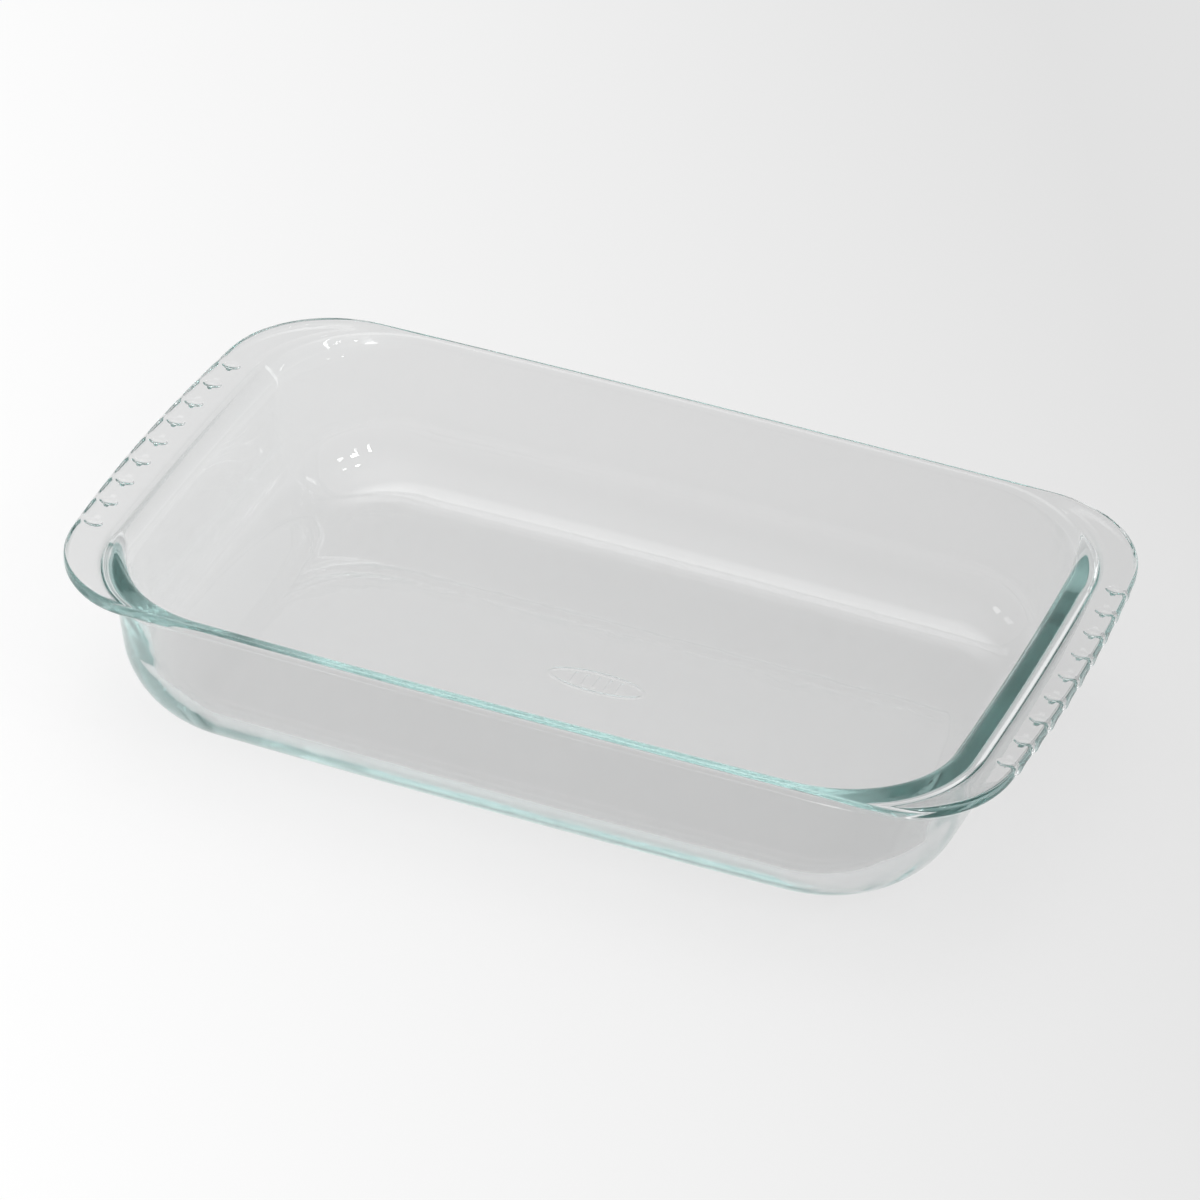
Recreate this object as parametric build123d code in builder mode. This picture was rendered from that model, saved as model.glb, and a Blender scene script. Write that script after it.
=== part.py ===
from build123d import *
from math import radians, tan
import os

# Oblong glass baking dish with a grip handle at each end, pressed in one piece.
# Millimetres. +X runs along the dish, +Z is up, and the origin is the centre of the
# face that the dish rests on.

# Overall size
length = 325.0
width = 197.0
height = 55.0

# Rim outline: how far each bowed side falls back at its corners
rim_end_bow = 6.3
rim_side_bow = 1.9
rim_corner = 40.0

# Outer wall of the tub, measured where it meets the underside of the rim
tub_length = 293.0
tub_width = 195.0
tub_end_bow = 2.5
tub_side_bow = 1.9
tub_corner = 45.0
tub_end_draft = 8.0
tub_side_draft = 3.0
base_fillet = 29.0

# Cavity, measured at the top of the rim
mouth_length = 280.6
mouth_width = 188.4
mouth_corner = 40.0
mouth_round = 1.6
cavity_end_draft = 9.0
cavity_side_draft = 4.0
cavity_fillet = 25.0
floor_thickness = 5.5

# Rim: a slim bead along the long sides, and a thicker handle shelf at each end
bead_thickness = 3.4
shelf_thickness = 5.2
shelf_start = 124.0
shelf_ramp = 12.0
rim_round = 1.5

# Flare that thickens the tub's end walls where they run into the handle shelves
flare_height = 5.0
flare_reach = 5.0

# Grip ribs under each handle, laid out along its bowed edge
rib_count = 9
rib_pitch = 13.3
rib_radius = 1.6
rib_drop = 1.1
rib_run = 4.0
rib_setback = 2.2
handle_bow_radius = 760.0

# Shallow plain mark moulded into the underside of the base: an oval ring and bars
mark_length = 34.0
mark_width = 12.0
mark_line = 1.2
mark_depth = 0.1
mark_bar_count = 5
mark_bar_pitch = 4.0
mark_bar_length = 5.0

bead_bottom = height - bead_thickness
shelf_bottom = height - shelf_thickness
flare_bottom = shelf_bottom - flare_height
cavity_depth = height - floor_thickness


def bowed_outline(full_x, full_y, end_bow, side_bow, corner):
    """Closed outline of four bowed sides with rounded corners, centred on the origin.

    full_x and full_y are measured across the crowns of the bows.
    """
    half_x, half_y = full_x / 2, full_y / 2
    corner_x, corner_y = half_x - end_bow, half_y - side_bow
    with BuildSketch(mode=Mode.PRIVATE) as outline:
        with BuildLine():
            ThreePointArc((corner_x, -corner_y), (half_x, 0), (corner_x, corner_y))
            ThreePointArc((corner_x, corner_y), (0, half_y), (-corner_x, corner_y))
            ThreePointArc((-corner_x, corner_y), (-half_x, 0), (-corner_x, -corner_y))
            ThreePointArc((-corner_x, -corner_y), (0, -half_y), (corner_x, -corner_y))
        make_face()
        fillet(outline.vertices(), radius=corner)
    return outline.sketch


def tub_outline(full_x, full_y, corner):
    """Outline of the tub's wall: both faces of the wall share the same bows."""
    return bowed_outline(full_x, full_y, tub_end_bow, tub_side_bow, corner)


def narrowed(full_size, draft, drop):
    """Size between two drafted walls, at a depth of drop below where it is full_size."""
    return full_size - 2 * drop * tan(radians(draft))


def rim_plate(thickness):
    """Solid plate on the rim's outline, thickness deep below the top of the rim."""
    with BuildPart() as plate:
        with BuildSketch(Plane.XY.offset(height - thickness)):
            add(bowed_outline(length, width, rim_end_bow, rim_side_bow, rim_corner))
        extrude(amount=thickness)
        fillet(plate.edges().filter_by(Axis.Z, reverse=True), radius=rim_round)
    return plate.part


# Outside of the tub: drafted walls that roll into the flat base with a large fillet
with BuildPart() as tub:
    with BuildSketch(Plane.XY):
        add(
            tub_outline(
                narrowed(tub_length, tub_end_draft, bead_bottom),
                narrowed(tub_width, tub_side_draft, bead_bottom),
                tub_corner,
            )
        )
    with BuildSketch(Plane.XY.offset(bead_bottom)):
        add(tub_outline(tub_length, tub_width, tub_corner))
    loft(ruled=True)
    fillet(tub.edges().group_by(Axis.Z)[0], radius=base_fillet)

# Inside of the tub: the same shape one wall thickness in, open at the rim
with BuildPart() as cavity:
    with BuildSketch(Plane.XY.offset(floor_thickness)):
        add(
            tub_outline(
                narrowed(mouth_length, cavity_end_draft, cavity_depth),
                narrowed(mouth_width, cavity_side_draft, cavity_depth),
                mouth_corner,
            )
        )
    with BuildSketch(Plane.XY.offset(height)):
        add(tub_outline(mouth_length, mouth_width, mouth_corner))
    loft(ruled=True)
    fillet(cavity.edges().group_by(Axis.Z)[0], radius=cavity_fillet)

# Flare under each handle shelf, which only widens the tub towards its ends
with BuildPart() as flare:
    with BuildSketch(Plane.XY.offset(flare_bottom)):
        add(
            tub_outline(
                narrowed(tub_length, tub_end_draft, flare_height),
                narrowed(tub_width, tub_side_draft, flare_height),
                tub_corner,
            )
        )
    with BuildSketch(Plane.XY.offset(shelf_bottom)):
        add(tub_outline(tub_length + 2 * flare_reach, tub_width, tub_corner))
    loft(ruled=True)

# Rim: both plates share one outline and one flat top, with rounded edges
bead_plate = rim_plate(bead_thickness)
shelf_plate = rim_plate(shelf_thickness)

with BuildPart() as glass_dish:
    # Handle shelves: the thick plate, cut away between the handles with a ramp at each end
    add(shelf_plate)
    with BuildSketch(Plane.XZ):
        with BuildLine():
            Polyline(
                (-shelf_start - shelf_ramp, shelf_bottom),
                (-shelf_start, bead_bottom),
                (-shelf_start, height),
                (shelf_start, height),
                (shelf_start, bead_bottom),
                (shelf_start + shelf_ramp, shelf_bottom),
                close=True,
            )
        make_face()
    extrude(amount=width, both=True, mode=Mode.SUBTRACT)

    # Bead, tub and flare close the ring, and the cavity opens it
    add(bead_plate)
    add(tub.part)
    add(flare.part)
    add(cavity.part, mode=Mode.SUBTRACT)
    rim_top = glass_dish.faces().sort_by(Axis.Z)[-1]
    fillet(rim_top.inner_wires()[0].edges(), radius=mouth_round)

    # Grip ribs: round-ended bars half sunk in the underside of each shelf
    rib_level = shelf_bottom + rib_radius - rib_drop
    for end in (-1, 1):
        for index in range(rib_count):
            rib_y = (index - (rib_count - 1) / 2) * rib_pitch
            edge_x = length / 2 - rib_y**2 / (2 * handle_bow_radius)
            outer_x = end * (edge_x - rib_setback)
            inner_x = end * (edge_x - rib_setback - rib_run)
            with Locations(((outer_x + inner_x) / 2, rib_y, rib_level)):
                Cylinder(radius=rib_radius, height=rib_run, rotation=(0, 90, 0))
            with Locations((outer_x, rib_y, rib_level), (inner_x, rib_y, rib_level)):
                Sphere(radius=rib_radius)

    # Moulded mark, sunk into the base so that the dish still rests flat
    with BuildSketch(Plane.XY):
        Ellipse(mark_length / 2, mark_width / 2)
        Ellipse(mark_length / 2 - mark_line, mark_width / 2 - mark_line, mode=Mode.SUBTRACT)
        with GridLocations(mark_bar_pitch, 0, mark_bar_count, 1):
            Rectangle(mark_line, mark_bar_length)
    extrude(amount=mark_depth, mode=Mode.SUBTRACT)

glass_dish.part.label = "glass_dish"

os.makedirs("parts", exist_ok=True)
export_step(glass_dish.part, "parts/glass_dish.step")
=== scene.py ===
from math import asin, atan2, cos, hypot, pi, radians, sin, sqrt, tan

import bpy
import numpy as np
from mathutils import Matrix, Vector


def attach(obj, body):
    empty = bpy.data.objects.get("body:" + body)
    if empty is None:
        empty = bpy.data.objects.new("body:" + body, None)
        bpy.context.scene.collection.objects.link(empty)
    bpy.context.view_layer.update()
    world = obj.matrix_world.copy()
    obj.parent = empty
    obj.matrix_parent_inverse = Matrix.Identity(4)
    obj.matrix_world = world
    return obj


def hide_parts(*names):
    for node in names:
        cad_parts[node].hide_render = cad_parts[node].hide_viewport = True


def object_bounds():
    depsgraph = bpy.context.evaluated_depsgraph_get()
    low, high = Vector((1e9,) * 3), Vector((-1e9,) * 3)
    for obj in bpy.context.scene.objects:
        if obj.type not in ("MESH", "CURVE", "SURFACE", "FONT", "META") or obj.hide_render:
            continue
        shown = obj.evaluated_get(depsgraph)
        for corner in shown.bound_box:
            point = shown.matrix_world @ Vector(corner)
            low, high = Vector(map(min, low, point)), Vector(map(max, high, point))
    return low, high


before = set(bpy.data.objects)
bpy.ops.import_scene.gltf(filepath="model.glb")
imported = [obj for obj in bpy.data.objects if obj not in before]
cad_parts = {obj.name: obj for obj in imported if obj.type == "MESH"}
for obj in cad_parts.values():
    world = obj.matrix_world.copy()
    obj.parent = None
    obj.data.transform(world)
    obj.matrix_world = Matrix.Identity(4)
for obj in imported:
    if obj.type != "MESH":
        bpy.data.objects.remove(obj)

cad_low, cad_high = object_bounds()

# Metres, in the CAD model's frame: +X along the dish, +Z up, origin under its centre.
MM = 0.001
NODE = "glass_dish"
HALF_LENGTH = (cad_high.x - cad_low.x) / 2
HALF_WIDTH = (cad_high.y - cad_low.y) / 2
HEIGHT = cad_high.z - cad_low.z

# Rim outline, and the two faces of the tub's wall
RIM_BOWS = (6.3 * MM, 1.9 * MM)
RIM_CORNER = 40 * MM
TUB_BOWS = (2.5 * MM, 1.9 * MM)
OUTER_HALF = (HALF_LENGTH - 16 * MM, HALF_WIDTH - 1 * MM)
OUTER_DRAFT = (8, 3)
OUTER_CORNER = 45 * MM
BASE_FILLET = 29 * MM
MOUTH_HALF = (HALF_LENGTH - 23 * MM, HALF_WIDTH - 4.3 * MM)
MOUTH_DRAFT = (9, 4)
MOUTH_CORNER = 40 * MM
MOUTH_ROUND = (6 * MM, 1.8 * MM)
FLOOR_LEVEL = 5.5 * MM
FLOOR_FILLET = 25 * MM

# Rim section: slim bead along the sides, thick shelf at the ends
BEAD_THICKNESS = 3.4 * MM
SHELF_THICKNESS = 5.2 * MM
SHELF_START = 92 * MM
SHELF_FULL = 142 * MM
EDGE_ROUND = 1.5 * MM
UNDER_ROUND = (2.3 * MM, 1.6 * MM)
UNDER_FILLET = (5.5 * MM, 1.6 * MM)
UNDER_TURN = (pi / 2, pi / 4)
BEAD_OVERHANG = 1.5 * MM
SHELF_OVERHANG = 12.5 * MM

# Grip ribs under each handle
RIB_COUNT = 9
RIB_PITCH = 13.3 * MM
RIB_INSET = 4.7 * MM
RIB_HALF = (3.1 * MM, 1.9 * MM)
RIB_DROP = 1.1 * MM
RIB_EDGE_SHARE = 0.6
RIB_RINGS = 30

# Plain oval mark sunk in the base
MARK_HALF = (17 * MM, 6 * MM)
MARK_LINE = 1.2 * MM
MARK_DEPTH = 0.1 * MM
MARK_BARS = 5
MARK_BAR_PITCH = 4 * MM
MARK_BAR_HALF = 2.5 * MM
MARK_PATCH = (20 * MM, 8 * MM)

# Glass: the tint of one wall, and the absorption in a metre of glass
GLASS_TINTS = ((0.82, 0.816, 0.817, 1), (0.84, 0.836, 0.837, 1))
GLASS_DENSITY = 5.0
GLASS_DEPTH_COLOUR = (0.30, 0.58, 0.555, 1)

# Studio: the floor's reflectance, its own glow, and the painted light on it, brighter towards the way the
# light comes from
PAINTED_LIGHT_HEADING = (-0.95, -0.55, 0)
FLOOR_TONES = ((0.127, 0.127, 0.127, 1), (0.168, 0.168, 0.168, 1))
FLOOR_GLOW = 4.85
FLOOR_MOTTLE = 0.1
FLOOR_SPREAD = (-0.2, 0.3)
FLOOR_REACH = 6.0
FLOOR_GAP = 0.3 * MM

# Studio: sky levels by height, the way to its brightest part, and the small lights as
# name, place, size and power
SKY_LEVELS = ((0.0, 1.3), (0.25, 0.82), (0.6, 0.80), (0.85, 1.1), (1.0, 1.5))
SKY_GLOW = (-0.28, 0.38, 0.88)
SKY_STRENGTH = (0.9, 2.15)
LIGHTS = (
    ("strip", (1.3, 1.43, 1.0), (0.12, 0.5), 0.6),
    ("key", (1.4, -0.4, 1.5), (0.22, 0.16), 2.2),
    ("key_low", (1.1, -0.9, 1.3), (0.08, 0.40), 1.6),
    ("key_high", (1.0, -0.1, 1.8), (0.14, 0.10), 0.8),
    ("fill", (-1.4, -0.6, 1.2), (0.26, 0.20), 0.5),
)
LIGHT_BOUNCES = 64

# Camera: angles in degrees, lens and sensor in millimetres
CAMERA_AZIMUTH = 20.3
CAMERA_ELEVATION = 33.68
CAMERA_ROLL = 3.03
CAMERA_TARGET = (-0.0189, 0.0500, 0.0)
CAMERA_DISTANCE = 2.1997
CAMERA_LENS = 198.3
CAMERA_SENSOR = 36

# Mesh density, per quarter of the dish
RIB_MESH = (0.4 * MM, 2.2 * MM)
BETWEEN_RIBS = 4
SPLIT_Y = 58 * MM
CORNER_STEPS = 26
SIDE_STEPS = 14
PATCH_STEPS_Y = 34


def smooth(value):
    """Smooth step from 0 to 1."""
    t = np.clip(value, 0, 1)
    return t * t * (3 - 2 * t)


def station_levels():
    """Y of each station on a quarter's end wall: close together at the ribs, wider between."""
    fine, reach = RIB_MESH
    levels = [0.0]
    for rib in range((RIB_COUNT + 1) // 2):
        centre = rib * RIB_PITCH
        start = centre - reach
        if rib:
            levels += list(np.linspace(levels[-1], start, BETWEEN_RIBS + 1)[1:])
        first = start if rib else 0.0
        count = round((centre + reach - first) / fine)
        levels += list(np.linspace(first, centre + reach, count + 1)[1:])
    levels += list(np.linspace(levels[-1], SPLIT_Y, 3)[1:])
    return np.array(levels)


LEVELS = station_levels()
QUARTER = len(LEVELS) - 1 + CORNER_STEPS + SIDE_STEPS


class Outline:
    """Plan outline of four bowed sides with rounded corners, with a point for every station."""

    def __init__(self, half, bows, corner):
        corner_x, corner_y = half[0] - bows[0], half[1] - bows[1]
        self.end_radius = (corner_y**2 + bows[0] ** 2) / (2 * bows[0])
        self.side_radius = (corner_x**2 + bows[1] ** 2) / (2 * bows[1])
        self.end_x = half[0] - self.end_radius
        self.side_y = half[1] - self.side_radius
        self.corner = corner
        reach_end, reach_side = self.end_radius - corner, self.side_radius - corner
        gap = hypot(self.end_x, self.side_y)
        along = (reach_end**2 - reach_side**2 + gap**2) / (2 * gap)
        off = sqrt(reach_end**2 - along**2)
        step_x, step_y = -self.end_x / gap, self.side_y / gap
        self.corner_x = self.end_x + along * step_x - off * step_y
        self.corner_y = along * step_y + off * step_x
        if self.corner_x < 0 or self.corner_y < 0:
            self.corner_x = self.end_x + along * step_x + off * step_y
            self.corner_y = along * step_y - off * step_x
        self.end_angle = atan2(self.corner_y, self.corner_x - self.end_x)
        self.side_angle = atan2(self.corner_y - self.side_y, self.corner_x)

    def at_angle(self, angle):
        """Point of the quarter whose outward normal makes this angle with +X."""
        if angle < self.end_angle:
            return self.end_x + self.end_radius * cos(angle), self.end_radius * sin(angle)
        if angle < self.side_angle:
            return self.corner_x + self.corner * cos(angle), self.corner_y + self.corner * sin(angle)
        return self.side_radius * cos(angle), self.side_y + self.side_radius * sin(angle)

    def angle_at_level(self, y):
        """Normal angle where the quarter passes this Y."""
        angle = asin(y / self.end_radius)
        if angle <= self.end_angle:
            return angle
        return asin(min((y - self.corner_y) / self.corner, 1))

    def angle_facing(self, point, heading):
        """Normal angle where a line from a point inside, at this heading, meets the quarter."""
        low, high = 0.0, pi / 2
        for _ in range(50):
            middle = (low + high) / 2
            x, y = self.at_angle(middle)
            if (x - point[0]) * sin(heading) > (y - point[1]) * cos(heading):
                low = middle
            else:
                high = middle
        return low

    def quarter(self):
        """Points and normal angles of one quarter, from the end's crown to the side's."""
        angles = [self.angle_at_level(y) for y in LEVELS]
        angles += list(np.linspace(angles[-1], self.side_angle, CORNER_STEPS + 1)[1:])
        angles += list(np.linspace(self.side_angle, pi / 2, SIDE_STEPS + 1)[1:])
        return np.array([self.at_angle(a) for a in angles]), np.array(angles)


def closed(quarter):
    """The whole ring from one quarter, by mirroring, as an array of (x, y)."""
    back = quarter[::-1]
    return np.vstack(
        [
            quarter[:-1],
            (back * (-1, 1))[:-1],
            (quarter * (-1, -1))[:-1],
            (back * (1, -1))[:-1],
        ]
    )


def ring(half, bows, corner):
    """Plan points of the whole outline."""
    return closed(Outline(half, bows, corner).quarter()[0])


def end_share(half, bows, corner):
    """For each station, 1 where the wall faces along X and 0 where it faces along Y."""
    angles = Outline(half, bows, corner).quarter()[1]
    share = np.cos(angles) ** 2
    return np.abs(closed(np.column_stack([share, share]))[:, 0])


END_SHARE = end_share(OUTER_HALF, TUB_BOWS, OUTER_CORNER)


def lifted(points, z):
    """Ring of (x, y, z) points, with z one number or one for each station."""
    return np.column_stack([points, np.broadcast_to(z, len(points))])


def tub_face(half, drafts, corner, tops, bottom, fillet, fillet_steps, wall_steps):
    """Rings of one face of the tub's wall, from the edge of its flat bottom up to its tops."""
    rings = []
    drafts = [radians(d) for d in drafts]
    tangent = [bottom + fillet * (1 - sin(d)) for d in drafts]
    at_tangent = [h - (top - t) * tan(d) for h, top, t, d in zip(half, tops, tangent, drafts)]
    centre = [h - fillet * cos(d) for h, d in zip(at_tangent, drafts)]
    for step in range(fillet_steps + 1):
        turned = smooth(step / fillet_steps)
        angles = [-pi / 2 + turned * (pi / 2 - d) for d in drafts]
        reach = [c + fillet * cos(a) for c, a in zip(centre, angles)]
        levels = [bottom + fillet * (1 + sin(a)) for a in angles]
        inset = sum(h - r for h, r in zip(at_tangent, reach)) / 2
        z = END_SHARE * levels[0] + (1 - END_SHARE) * levels[1]
        rings.append(lifted(ring(reach, TUB_BOWS, corner - inset), z))
    for step in range(1, wall_steps + 1):
        share = step / wall_steps
        reach = [t + (h - t) * share for t, h in zip(at_tangent, half)]
        levels = [t + (top - t) * share for t, top in zip(tangent, tops)]
        z = END_SHARE * levels[0] + (1 - END_SHARE) * levels[1]
        rings.append(lifted(ring(reach, TUB_BOWS, corner), z))
    return rings


def cavity_face(fillet_steps, wall_steps):
    """Rings of the cavity's wall, from the edge of the floor up to where the mouth bends outward."""
    tops = [HEIGHT - r * (1 - sin(radians(d))) for r, d in zip(MOUTH_ROUND, MOUTH_DRAFT)]
    return tub_face(
        MOUTH_HALF, MOUTH_DRAFT, MOUTH_CORNER, tops, FLOOR_LEVEL, FLOOR_FILLET, fillet_steps, wall_steps
    )


def floor_rings():
    """Rings of the flat floor, from near its centre out to the fillet, which comes next."""
    edge = cavity_face(1, 1)[0]
    scales = [0.04, 0.12, 0.22, 0.34, 0.46, 0.58, 0.7, 0.8, 0.88, 0.94, 0.98, 0.995]
    return [edge * (s, s, 1) for s in scales]


def mouth_rings(steps=10):
    """Bend from the cavity's wall, at its draft, out to the flat top of the rim."""
    rings = []
    drafts = [radians(d) for d in MOUTH_DRAFT]
    for step in range(1, steps + 1):
        angles = [d + step / steps * (pi / 2 - d) for d in drafts]
        out = [r * (cos(d) - cos(a)) for r, d, a in zip(MOUTH_ROUND, drafts, angles)]
        rise = [r * (sin(a) - sin(d)) for r, d, a in zip(MOUTH_ROUND, drafts, angles)]
        start = [HEIGHT - r * (1 - sin(d)) for r, d in zip(MOUTH_ROUND, drafts)]
        levels = [low + up for low, up in zip(start, rise)]
        z = END_SHARE * levels[0] + (1 - END_SHARE) * levels[1]
        half = [h + o for h, o in zip(MOUTH_HALF, out)]
        rings.append(lifted(ring(half, TUB_BOWS, MOUTH_CORNER + sum(out) / 2), z))
    return rings


def rim_quarter():
    """Points and normal angles of the rim's outline, each straight out from the tub wall's station."""
    rim = Outline((HALF_LENGTH, HALF_WIDTH), RIM_BOWS, RIM_CORNER)
    wall = Outline(OUTER_HALF, TUB_BOWS, OUTER_CORNER).quarter()[0]
    angles = [rim.angle_at_level(y) for y in LEVELS]
    for number, point in enumerate(wall[len(LEVELS) :], start=1):
        angles.append(rim.angle_facing(point, min(number / CORNER_STEPS, 1) * pi / 2))
    return np.array([rim.at_angle(a) for a in angles]), np.array(angles)


RIM = rim_quarter()


def rim_ring(inset):
    """Ring inside the rim's outline by inset, one number or one for each station."""
    points, angles = RIM
    normals = closed(np.column_stack([np.cos(angles), np.sin(angles)]))
    return closed(points) - normals * np.broadcast_to(inset, 4 * QUARTER)[:, None]


def top_rings(steps=6):
    """Flat top, from the mouth's round to the rim's edge round."""
    inner = mouth_rings()[-1][:, :2]
    outer = rim_ring(EDGE_ROUND)
    return [lifted(inner + (outer - inner) * (s / steps), HEIGHT) for s in range(1, steps + 1)]


def wall_ring():
    """Top of the tub's outer wall, with its outward normals."""
    points, angles = Outline(OUTER_HALF, TUB_BOWS, OUTER_CORNER).quarter()
    return closed(points), closed(np.column_stack([np.cos(angles), np.sin(angles)]))


def blended(pair):
    """One value for each station, from the pair for the shelves and for the beads."""
    overhang = np.linalg.norm(rim_ring(0) - wall_ring()[0], axis=1)
    share = smooth((overhang - BEAD_OVERHANG) / (SHELF_OVERHANG - BEAD_OVERHANG))
    return pair[0] * share + pair[1] * (1 - share)


def underside_level(points):
    """Height of the rim's underside at each point: it drops from the bead to the shelves."""
    share = smooth((np.abs(points[:, 0]) - SHELF_START) / (SHELF_FULL - SHELF_START))
    return HEIGHT - BEAD_THICKNESS - (SHELF_THICKNESS - BEAD_THICKNESS) * share


def under_round():
    """Radius below the rim's edge at each station: sharper at the ribs, so the edge is scalloped."""
    y = rim_ring(0)[:, 1]
    at_rib = smooth(1 - rib_offset(y) / (2 * RIB_HALF[1]))
    return blended(UNDER_ROUND) * (1 - RIB_EDGE_SHARE * at_rib)


def underside_span():
    """Both edges of the rim's straight underside, and half its drop, at each station."""
    turn = blended(UNDER_TURN)
    wall, normals = wall_ring()
    edge = rim_ring(under_round() * (1 - np.cos(turn)))
    inner = wall + normals * (blended(UNDER_FILLET) * (1 - np.cos(turn)))[:, None]
    return edge, inner, np.linalg.norm(inner - edge, axis=1) / np.tan(turn) / 2


def edge_rings(steps=7):
    """Round top edge of the rim, its upright face, and the round edge below."""
    rings = []
    for step in range(1, steps + 1):
        angle = step / steps * pi / 2
        z = HEIGHT - EDGE_ROUND * (1 - cos(angle))
        rings.append(lifted(rim_ring(EDGE_ROUND * (1 - sin(angle))), z))
    under = under_round()
    turn = blended(UNDER_TURN)
    edge, inner, half_drop = underside_span()
    level = underside_level(edge) + half_drop
    for step in range(0, steps + 1):
        angle = step / steps * turn
        points = rim_ring(under * (1 - np.cos(angle)))
        rings.append(lifted(points, level + under * (np.sin(turn) - np.sin(angle))))
    return rings


def underside_rings(flat_steps=26, fillet_steps=9):
    """Underside of the rim, from its edge in to the fillet that meets the tub's wall."""
    wall, normals = wall_ring()
    fillet = blended(UNDER_FILLET)
    turn = blended(UNDER_TURN)
    edge, inner, half_drop = underside_span()
    rings = []
    for step in range(1, flat_steps + 1):
        share = step / flat_steps
        points = edge + (inner - edge) * share
        rings.append(lifted(points, underside_level(points) + half_drop * (1 - 2 * share)))
    level = underside_level(inner) - half_drop
    slopes = END_SHARE * tan(radians(OUTER_DRAFT[0])) + (1 - END_SHARE) * tan(radians(OUTER_DRAFT[1]))
    for step in range(1, fillet_steps + 1):
        angle = turn * (1 - step / fillet_steps)
        z = level - fillet * (np.sin(turn) - np.sin(angle))
        lean = (HEIGHT - BEAD_THICKNESS - z) * slopes * smooth(step / fillet_steps)
        points = wall + normals * (fillet * (1 - np.cos(angle)) - lean)[:, None]
        rings.append(lifted(points, z))
    return rings


def base_rings():
    """Outer wall down from the rim, round the base fillet, and over the flat to the mark's patch."""
    top = HEIGHT - BEAD_THICKNESS
    face = tub_face(OUTER_HALF, OUTER_DRAFT, OUTER_CORNER, (top, top), 0.0, BASE_FILLET, 26, 6)[::-1]
    lowest_fillet = HEIGHT - SHELF_THICKNESS - UNDER_FILLET[0]
    face = [r for r in face if r[:, 2].max() < lowest_fillet - 1 * MM]
    edge = face[-1][:, :2]
    patch = patch_edge()
    shares = [0.01, 0.05, 0.14, 0.26, 0.4, 0.55, 0.7, 0.84, 0.94, 1.0]
    return face + [lifted(edge + (patch - edge) * s, 0.0) for s in shares]


def patch_edge():
    """Stations spread round the rectangle that holds the mark."""
    up = [(MARK_PATCH[0], MARK_PATCH[1] * s / PATCH_STEPS_Y) for s in range(PATCH_STEPS_Y + 1)]
    across = QUARTER - PATCH_STEPS_Y
    along = [(MARK_PATCH[0] * (1 - s / across), MARK_PATCH[1]) for s in range(1, across + 1)]
    return closed(np.array(up + along))


def rib_offset(y):
    """Distance along the handle from the nearest rib."""
    half_count = RIB_COUNT // 2
    return np.abs(y - np.clip(np.round(y / RIB_PITCH), -half_count, half_count) * RIB_PITCH)


def rib_height(x, y):
    """How far the ribs stand off the underside at each point: each is half an ellipsoid."""
    edge_bow = y**2 / (2 * Outline((HALF_LENGTH, HALF_WIDTH), RIM_BOWS, RIM_CORNER).end_radius)
    inward = HALF_LENGTH - edge_bow - np.abs(x)
    along = (inward - RIB_INSET) / RIB_HALF[0]
    across = rib_offset(y) / RIB_HALF[1]
    return RIB_DROP * np.sqrt(np.maximum(1 - along**2 - across**2, 0))


def mark_depth(x, y):
    """Depth of the mark at each point of the base."""
    radius = np.sqrt((x / MARK_HALF[0]) ** 2 + (y / MARK_HALF[1]) ** 2)
    slope = np.sqrt((x / MARK_HALF[0] ** 2) ** 2 + (y / MARK_HALF[1] ** 2) ** 2) / np.maximum(radius, 0.01)
    from_line = np.abs((radius - 1) / np.maximum(slope, 1e-6) + MARK_LINE / 2)
    bar = np.clip(np.round(x / MARK_BAR_PITCH), -(MARK_BARS // 2), MARK_BARS // 2) * MARK_BAR_PITCH
    from_bar = np.hypot(x - bar, np.maximum(np.abs(y) - MARK_BAR_HALF, 0))
    nearest = np.minimum(from_line, from_bar)
    return MARK_DEPTH * smooth((MARK_LINE * 0.75 - nearest) / (MARK_LINE * 0.5))


def add_ribs(rings, first, last):
    """Push the ribs out of the underside rings, fading them where the surface turns upright."""
    for number in range(first, last):
        points = rings[number]
        before, after = rings[number - 1], rings[number + 1]
        run = np.hypot(*(after - before)[:, :2].T)
        drop = (before - after)[:, 2]
        down = run / np.maximum(np.hypot(run, drop), 1e-9)
        height = rib_height(points[:, 0], points[:, 1]) * smooth(down * 1.2)
        rings[number] = points - np.column_stack([0 * height, 0 * height, height])


def dish_rings():
    """Every ring of the dish in order, over the floor, up, over the rim, and down to the base."""
    rings = floor_rings()
    rings += cavity_face(24, 6)
    rings += mouth_rings()
    rings += top_rings()
    edge = edge_rings()
    round_start = len(rings) + len(edge) // 2
    rings += edge
    rings += underside_rings()
    add_ribs(rings, round_start, round_start + RIB_RINGS)
    rings += base_rings()
    return rings


def patch_grid(start, vertices, faces):
    """Fill the rectangle at the base's centre with a grid that carries the mark."""
    rows, columns = 2 * PATCH_STEPS_Y, 2 * (QUARTER - PATCH_STEPS_Y)
    total = 4 * QUARTER
    index = {}
    for station in range(total):
        x, y = patch_edge()[station]
        column = round((x / MARK_PATCH[0] + 1) / 2 * columns)
        row = round((y / MARK_PATCH[1] + 1) / 2 * rows)
        index[column, row] = start + station
    for column in range(1, columns):
        for row in range(1, rows):
            index[column, row] = len(vertices)
            x = MARK_PATCH[0] * (2 * column / columns - 1)
            y = MARK_PATCH[1] * (2 * row / rows - 1)
            vertices.append((x, y, float(mark_depth(np.array([x]), np.array([y]))[0])))
    for column in range(columns):
        for row in range(rows):
            corners = [(column, row), (column, row + 1), (column + 1, row + 1), (column + 1, row)]
            faces.append([index[c] for c in corners])


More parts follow.
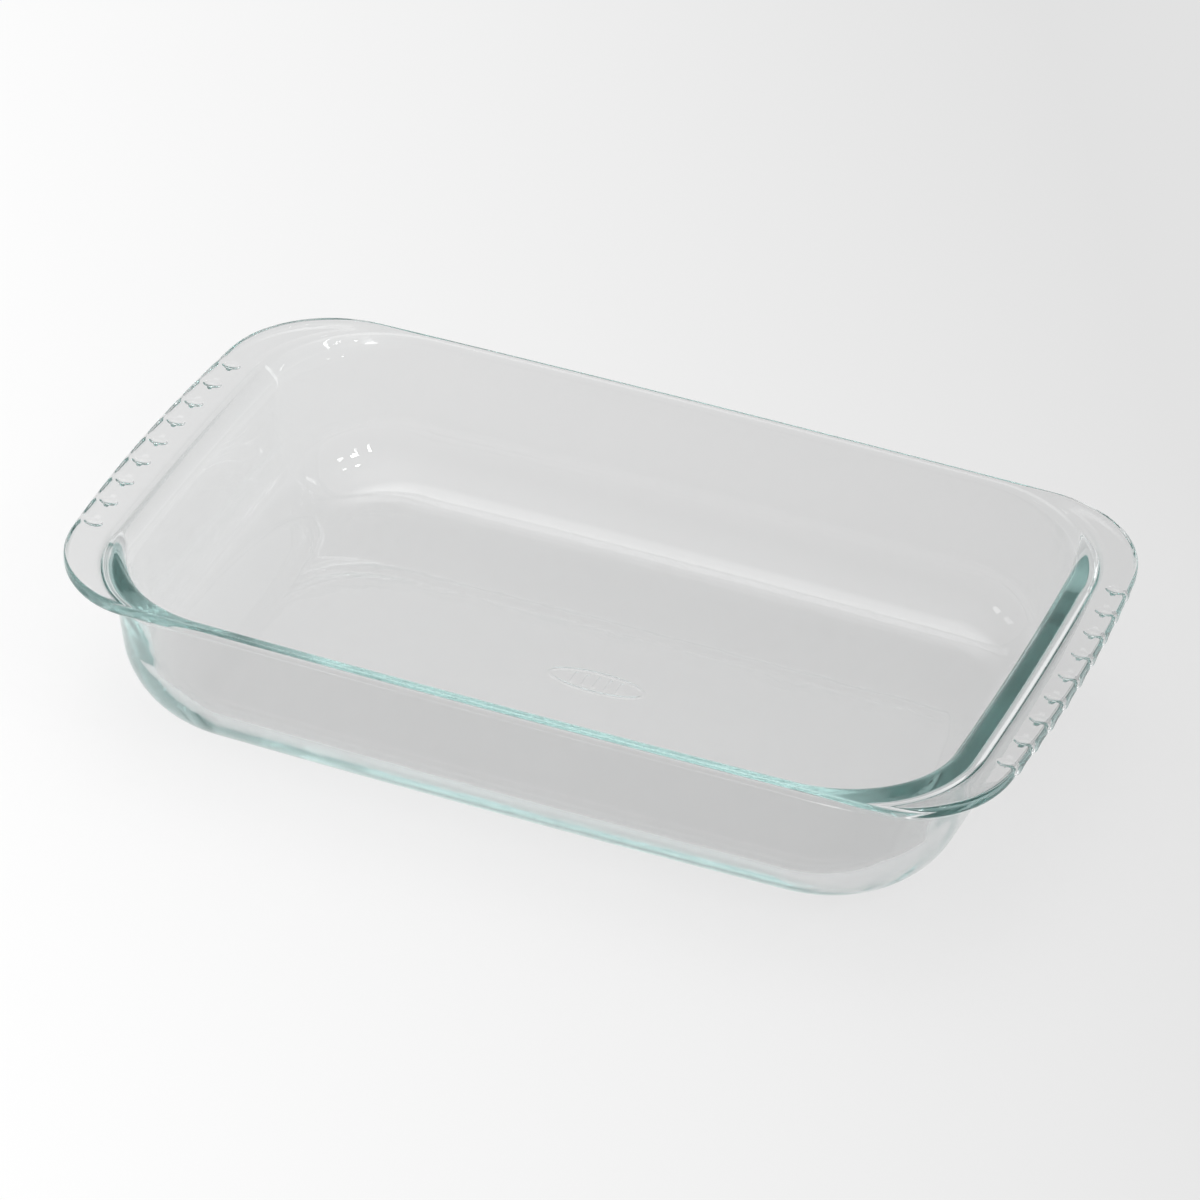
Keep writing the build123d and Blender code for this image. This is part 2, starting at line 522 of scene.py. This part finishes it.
def build_dish():
    """One closed mesh of the whole dish."""
    rings = dish_rings()
    total = 4 * QUARTER
    vertices = [(0.0, 0.0, FLOOR_LEVEL)]
    faces = []
    for points in rings:
        vertices += [tuple(p) for p in points]
    for station in range(total):
        faces.append([0, 1 + station, 1 + (station + 1) % total])
    for number in range(len(rings) - 1):
        low, high = 1 + number * total, 1 + (number + 1) * total
        for station in range(total):
            after = (station + 1) % total
            faces.append([low + station, high + station, high + after, low + after])
    patch_grid(1 + (len(rings) - 1) * total, vertices, faces)
    mesh = bpy.data.meshes.new("baking_dish")
    mesh.from_pydata(vertices, [], faces)
    mesh.validate()
    mesh.shade_smooth()
    dish = bpy.data.objects.new("baking_dish", mesh)
    bpy.context.scene.collection.objects.link(dish)
    return dish


def node(tree, kind, **settings):
    """New shader node with its input sockets set by name."""
    made = tree.nodes.new(kind)
    for name, value in settings.items():
        made.inputs[name.replace("_", " ")].default_value = value
    return made


def glass_material():
    """Clear pressed glass: faint mould waviness and smudges, and teal where the path is long."""
    material = bpy.data.materials.new("clear_pressed_glass")
    material.use_nodes = True
    tree = material.node_tree
    tree.nodes.clear()
    link = tree.links.new
    place = node(tree, "ShaderNodeTexCoord").outputs["Object"]

    surface = node(tree, "ShaderNodeBsdfPrincipled", IOR=1.5, Transmission_Weight=1.0)
    clouds = node(tree, "ShaderNodeTexNoise", Scale=14.0, Detail=3.0)
    link(place, clouds.inputs["Vector"])
    tint = node(tree, "ShaderNodeMix")
    tint.data_type = "RGBA"
    tint.inputs[6].default_value = GLASS_TINTS[0]
    tint.inputs[7].default_value = GLASS_TINTS[1]
    link(clouds.outputs["Fac"], tint.inputs[0])
    link(tint.outputs[2], surface.inputs["Base Color"])

    smudges = node(tree, "ShaderNodeTexNoise", Scale=60.0, Detail=5.0)
    link(place, smudges.inputs["Vector"])
    haze = node(tree, "ShaderNodeMapRange", From_Min=0.35, From_Max=0.75, To_Min=0.0, To_Max=0.02)
    link(smudges.outputs["Fac"], haze.inputs["Value"])
    link(haze.outputs["Result"], surface.inputs["Roughness"])

    waves = node(tree, "ShaderNodeTexNoise", Scale=75.0, Detail=2.5)
    link(place, waves.inputs["Vector"])
    relief = node(tree, "ShaderNodeBump", Strength=0.15, Distance=0.0003)
    link(waves.outputs["Fac"], relief.inputs["Height"])
    link(relief.outputs["Normal"], surface.inputs["Normal"])

    depth = node(tree, "ShaderNodeVolumeAbsorption", Density=GLASS_DENSITY)
    depth.inputs["Color"].default_value = GLASS_DEPTH_COLOUR
    output = node(tree, "ShaderNodeOutputMaterial")
    link(surface.outputs["BSDF"], output.inputs["Surface"])
    link(depth.outputs["Volume"], output.inputs["Volume"])
    return material


def floor_material():
    """Pale glowing table: a matt sheet with a faint mottle, and painted light that makes it a little
    brighter to the side the light comes from.
    """
    material = bpy.data.materials.new("studio_floor")
    material.use_nodes = True
    tree = material.node_tree
    surface = tree.nodes["Principled BSDF"]
    surface.inputs["Roughness"].default_value = 0.9
    surface.inputs["Specular IOR Level"].default_value = 0.0
    surface.inputs["Emission Strength"].default_value = FLOOR_GLOW
    place = node(tree, "ShaderNodeTexCoord").outputs["Object"]
    # Painted light: the floor's colour and glow rise towards the light's heading, with the random mottle
    # added on top
    painted_light_side = node(tree, "ShaderNodeVectorMath")
    painted_light_side.operation = "DOT_PRODUCT"
    tree.links.new(place, painted_light_side.inputs[0])
    painted_light_side.inputs[1].default_value = PAINTED_LIGHT_HEADING
    mottle = node(tree, "ShaderNodeTexNoise", Scale=8.0, Detail=2.0)
    mottle_and_painted_light = node(tree, "ShaderNodeMath")
    mottle_and_painted_light.operation = "MULTIPLY_ADD"
    tree.links.new(mottle.outputs["Fac"], mottle_and_painted_light.inputs[0])
    mottle_and_painted_light.inputs[1].default_value = FLOOR_MOTTLE
    tree.links.new(painted_light_side.outputs["Value"], mottle_and_painted_light.inputs[2])
    spread = node(tree, "ShaderNodeMapRange", From_Min=FLOOR_SPREAD[0], From_Max=FLOOR_SPREAD[1])
    tree.links.new(mottle_and_painted_light.outputs["Value"], spread.inputs["Value"])
    tone = node(tree, "ShaderNodeMix")
    tone.data_type = "RGBA"
    tone.inputs[6].default_value = FLOOR_TONES[0]
    tone.inputs[7].default_value = FLOOR_TONES[1]
    tree.links.new(spread.outputs["Result"], tone.inputs[0])
    tree.links.new(tone.outputs[2], surface.inputs["Base Color"])
    tree.links.new(tone.outputs[2], surface.inputs["Emission Color"])
    return material


def build_floor():
    """Wide flat floor just under the dish."""
    reach = FLOOR_REACH
    mesh = bpy.data.meshes.new("floor")
    corners = [(-reach, -reach, 0), (reach, -reach, 0), (reach, reach, 0), (-reach, reach, 0)]
    mesh.from_pydata(corners, [], [(0, 1, 2, 3)])
    floor = bpy.data.objects.new("floor", mesh)
    floor.location.z = -FLOOR_GAP
    mesh.materials.append(floor_material())
    bpy.context.scene.collection.objects.link(floor)


def softbox(name, place, size, power):
    """Rectangular light aimed at the dish."""
    data = bpy.data.lights.new(name, "AREA")
    data.shape = "RECTANGLE"
    data.size, data.size_y = size
    data.energy = power
    light = bpy.data.objects.new(name, data)
    light.location = place
    light.rotation_euler = (-Vector(place)).to_track_quat("-Z", "Y").to_euler()
    bpy.context.scene.collection.objects.link(light)


def studio():
    """Pale surroundings, brightest overhead, and small lights that leave glints in the corners."""
    world = bpy.data.worlds.new("studio")
    bpy.context.scene.world = world
    world.use_nodes = True
    tree = world.node_tree
    background = tree.nodes["Background"]
    place = node(tree, "ShaderNodeTexCoord")
    parts = node(tree, "ShaderNodeSeparateXYZ")
    tree.links.new(place.outputs["Generated"], parts.inputs[0])
    ramp = node(tree, "ShaderNodeValToRGB").color_ramp
    ramp.interpolation = "EASE"
    while len(ramp.elements) < len(SKY_LEVELS):
        ramp.elements.new(0.5)
    for element, (height, level) in zip(ramp.elements, SKY_LEVELS):
        element.position = height
        element.color = (level, level, level, 1)
    tree.links.new(parts.outputs["Z"], tree.nodes["Color Ramp"].inputs[0])
    tree.links.new(tree.nodes["Color Ramp"].outputs["Color"], background.inputs["Color"])
    overhead = node(tree, "ShaderNodeVectorMath")
    overhead.operation = "DOT_PRODUCT"
    tree.links.new(place.outputs["Generated"], overhead.inputs[0])
    overhead.inputs[1].default_value = SKY_GLOW
    glow = node(tree, "ShaderNodeMapRange", From_Min=0.89, From_Max=0.99)
    glow.inputs["To Min"].default_value, glow.inputs["To Max"].default_value = SKY_STRENGTH
    glow.interpolation_type = "SMOOTHERSTEP"
    tree.links.new(overhead.outputs["Value"], glow.inputs["Value"])
    tree.links.new(glow.outputs["Result"], background.inputs["Strength"])
    for light in LIGHTS:
        softbox(*light)
    bpy.context.scene.view_settings.view_transform = "Standard"


def light_paths():
    """Enough bounces for light that is guided along inside the glass."""
    settings = bpy.context.scene.cycles
    settings.max_bounces = LIGHT_BOUNCES
    settings.transmission_bounces = LIGHT_BOUNCES
    settings.glossy_bounces = LIGHT_BOUNCES


def place_camera():
    """Long lens, looking down on the front right corner, rolled a little."""
    azimuth, elevation, roll = radians(CAMERA_AZIMUTH), radians(CAMERA_ELEVATION), radians(CAMERA_ROLL)
    back = Vector((sin(azimuth) * cos(elevation), -cos(azimuth) * cos(elevation), sin(elevation)))
    level = Vector((cos(azimuth), sin(azimuth), 0))
    upright = back.cross(level)
    right = level * cos(roll) + upright * sin(roll)
    up = upright * cos(roll) - level * sin(roll)
    data = bpy.data.cameras.new("camera")
    data.sensor_width = CAMERA_SENSOR
    data.lens = CAMERA_LENS
    camera = bpy.data.objects.new("camera", data)
    turn = Matrix((right, up, back)).transposed().to_4x4()
    camera.matrix_world = Matrix.Translation(Vector(CAMERA_TARGET) + back * CAMERA_DISTANCE) @ turn
    bpy.context.scene.collection.objects.link(camera)
    bpy.context.scene.camera = camera


dish = build_dish()
dish.data.materials.append(glass_material())
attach(dish, "root")
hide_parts(NODE)
build_floor()
studio()
light_paths()
place_camera()
